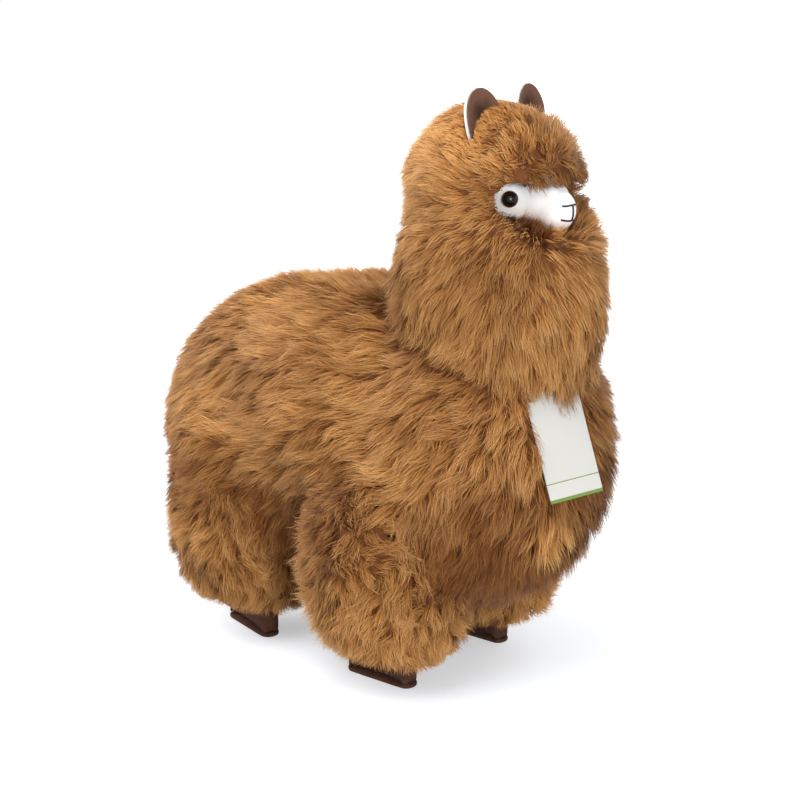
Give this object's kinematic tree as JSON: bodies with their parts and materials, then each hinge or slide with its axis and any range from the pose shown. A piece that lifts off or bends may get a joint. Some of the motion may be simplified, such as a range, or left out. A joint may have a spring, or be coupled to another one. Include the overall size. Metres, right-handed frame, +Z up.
{
  "type": "plush alpaca",
  "caption": "Soft toy alpaca in long curly-tipped fur, standing on short legs, with suede ears and feet, a pale face and a card tag.",
  "frame": {"origin": "on the ground under the middle of the toy's outline", "axes": "+Z up, the toy faces -Y and its own left side is at +X"},
  "size_m": [0.235, 0.3942, 0.4109],
  "materials": {
    "fur": "long soft fur in locks, caramel brown",
    "fleece": "short white fleece",
    "suede": "brown suede, matt",
    "eye": "polished dark brown",
    "washer": "natural nylon",
    "thread": "black embroidery thread",
    "card": "smooth white card"
  },
  "bodies": {
    "root": {"torso": "fur", "neck_and_head": "fur", "leg_front_right": "fur", "leg_front_left": "fur", "leg_rear_right": "fur", "leg_rear_left": "fur", "tail": "fur", "face": "fleece", "eye_right": "eye", "eye_left": "eye", "eye_washer_right": "washer", "eye_washer_left": "washer", "mouth_stitching": "thread", "ear_right": "suede", "ear_left": "suede", "ear_lining_right": "fleece", "ear_lining_left": "fleece", "foot_front_right": "suede", "foot_front_left": "suede", "foot_rear_right": "suede", "foot_rear_left": "suede", "sole_front_right": "suede", "sole_front_left": "suede", "sole_rear_right": "suede", "sole_rear_left": "suede", "hang_tag": "card"}
  },
  "joints": []
}
